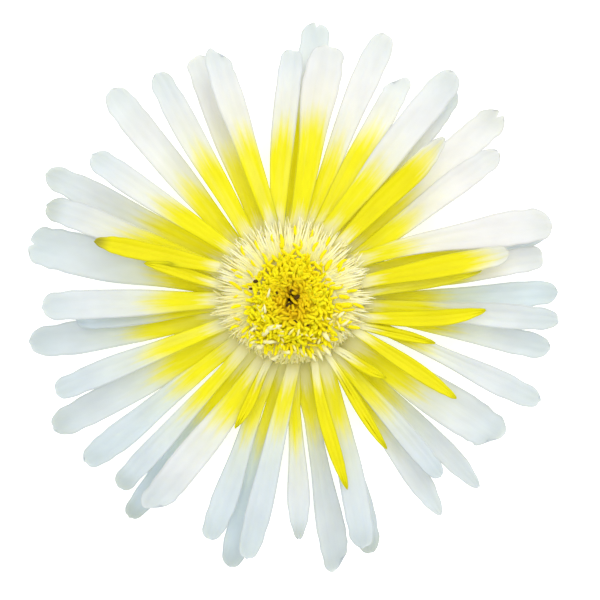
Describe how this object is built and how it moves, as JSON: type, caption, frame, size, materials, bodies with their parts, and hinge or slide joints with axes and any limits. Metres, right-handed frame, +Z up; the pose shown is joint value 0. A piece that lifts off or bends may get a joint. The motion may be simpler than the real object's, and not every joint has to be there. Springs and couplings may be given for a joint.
{
  "type": "ice plant flower",
  "caption": "Open ice plant flower as picked, with rows of narrow white petals that turn yellow towards a brush of yellow stamens, lying face up on its stalk scar.",
  "frame": {"origin": "centre of the round stalk scar under the flower, on the surface the flower lies on", "axes": "+Z up along the flower's axis, out of its face; +X and +Y across the flower, +Y towards the top of the picture"},
  "size_m": [0.0505, 0.052, 0.0147],
  "materials": {
    "calyx": "soft fleshy green plant skin, stands for living tissue",
    "white_petal": "soft satin petal, white at the tip and yellow towards the foot, stands for living tissue",
    "yellow_petal": "soft satin petal, clear yellow, stands for living tissue",
    "staminode": "cream filaments, stand for living tissue",
    "stamen": "yellow filaments and pollen-dusted anthers, stand for living tissue",
    "pistil": "dark olive nectary and stigmas, stand for living tissue"
  },
  "bodies": {
    "root": {"calyx": "calyx", "petals_outer_row": "white_petal", "petals_middle_row": "white_petal", "petals_inner_row": "white_petal", "petals_yellow_row": "yellow_petal", "staminodes": "staminode", "stamens": "stamen", "pistil": "pistil"}
  },
  "joints": []
}
